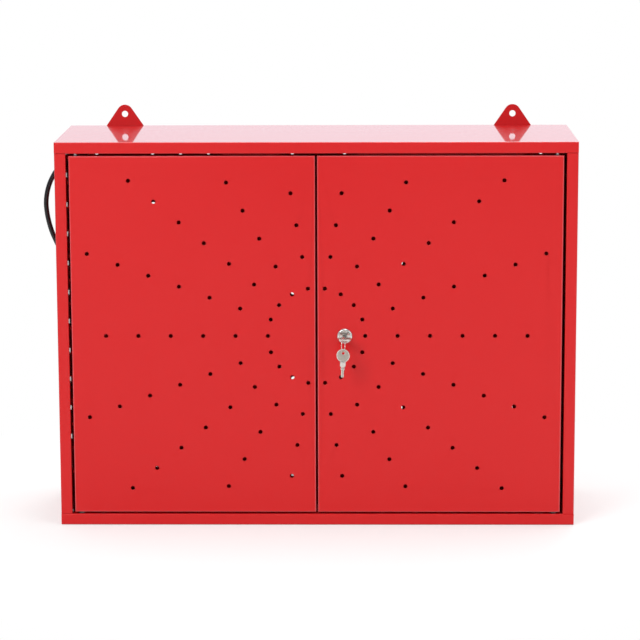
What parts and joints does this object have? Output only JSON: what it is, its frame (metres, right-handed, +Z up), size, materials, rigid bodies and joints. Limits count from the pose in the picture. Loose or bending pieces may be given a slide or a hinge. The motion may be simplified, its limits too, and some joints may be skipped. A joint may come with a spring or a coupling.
{
  "type": "tool cabinet",
  "caption": "Steel wall cabinet for tools with two perforated hinged doors, a cam lock with its keys, a lamp bar inside and a mains lead at the side.",
  "frame": {"origin": "middle of the cabinet's underside, half way between the door faces and the wall", "axes": "+X to the right as seen from the front, -Y towards the viewer in front of the doors, +Z up"},
  "size_m": [0.6741, 0.3468, 0.507],
  "materials": {
    "red_paint": "smooth glossy red powder coat",
    "zinc_steel": "zinc-plated steel",
    "chrome": "polished nickel and chrome",
    "black_cable": "smooth flexible black sheath",
    "black_plastic": "fine-grained moulded black plastic",
    "white_plastic": "satin white plastic",
    "opal_plastic": "milky diffusing plastic",
    "circuit_board": "white solder mask",
    "light_chip": "yellow phosphor under clear resin"
  },
  "bodies": {
    "casing": {"top_panel": "red_paint", "bottom_panel": "red_paint", "left_side_panel": "red_paint", "right_side_panel": "red_paint", "back_panel": "red_paint", "hanging_ears": "red_paint", "top_door_stop": "red_paint", "bottom_door_stop": "red_paint", "hinge_pins": "zinc_steel", "lamp_housing": "white_plastic", "lamp_diffuser": "opal_plastic", "lamp_end_caps": "white_plastic", "lamp_board": "circuit_board", "lamp_chips": "light_chip", "lamp_driver": "black_plastic", "lamp_brackets": "zinc_steel", "lamp_screws": "zinc_steel", "strain_relief": "black_cable", "outlet_nut": "black_plastic", "inner_lead": "black_cable", "lead_clips": "white_plastic", "mains_lead": "black_cable", "lead_coil": "black_cable", "coil_tie": "black_plastic", "plug_body": "black_plastic", "plug_contacts": "zinc_steel", "plug_earth_clips": "zinc_steel"},
    "left_leaf": {"left_door": "red_paint", "left_door_bushes": "white_plastic", "bolt_guides": "zinc_steel"},
    "right_leaf": {"right_door": "red_paint", "right_door_bushes": "white_plastic", "lock_housing": "chrome", "lock_nut": "zinc_steel"},
    "bolt": {"door_bolt": "zinc_steel"},
    "lock_core": {"lock_plug": "chrome", "lock_cam": "zinc_steel", "cam_screw": "zinc_steel", "fitted_key": "chrome"},
    "ring": {"key_ring": "chrome"},
    "loose_key": {"spare_key": "chrome"},
    "rocker": {"lamp_rocker": "black_plastic"}
  },
  "joints": [
    {"name": "left_door_hinge", "type": "hinge", "parent": "casing", "child": "left_leaf", "pos_m": [-0.2945, -0.094, 0.24], "axis": [0, 0, -1], "range_deg": [0, 110]},
    {"name": "right_door_hinge", "type": "hinge", "parent": "casing", "child": "right_leaf", "pos_m": [0.2945, -0.094, 0.24], "axis": [0, 0, 1], "range_deg": [0, 110]},
    {"name": "bolt_slide", "type": "slide", "parent": "left_leaf", "child": "bolt", "axis": [0, 0, -1], "range_m": [0, 0.012]},
    {"name": "lock_turn", "type": "hinge", "parent": "right_leaf", "child": "lock_core", "pos_m": [0.0348, -0.09, 0.24], "axis": [0, 1, 0], "range_deg": [0, 90]},
    {"name": "ring_turn", "type": "hinge", "parent": "lock_core", "child": "ring", "pos_m": [0.0348, -0.1239, 0.24], "axis": [0, 0, 1], "range_deg": [0, 90]},
    {"name": "loose_key_slide", "type": "hinge", "parent": "ring", "child": "loose_key", "pos_m": [0.0332, -0.13081, 0.23446], "axis": [-0.9744, 0.225, 0], "range_deg": [0, 90]},
    {"name": "rocker_tilt", "type": "hinge", "parent": "casing", "child": "rocker", "pos_m": [0.215, -0.016, 0.467], "axis": [1, 0, 0], "range_deg": [0, 14]}
  ],
  "couplings": [
    {"joint": "ring_turn", "follows": "lock_turn", "ratio": 1},
    {"joint": "loose_key_slide", "follows": "lock_turn", "ratio": 1}
  ]
}
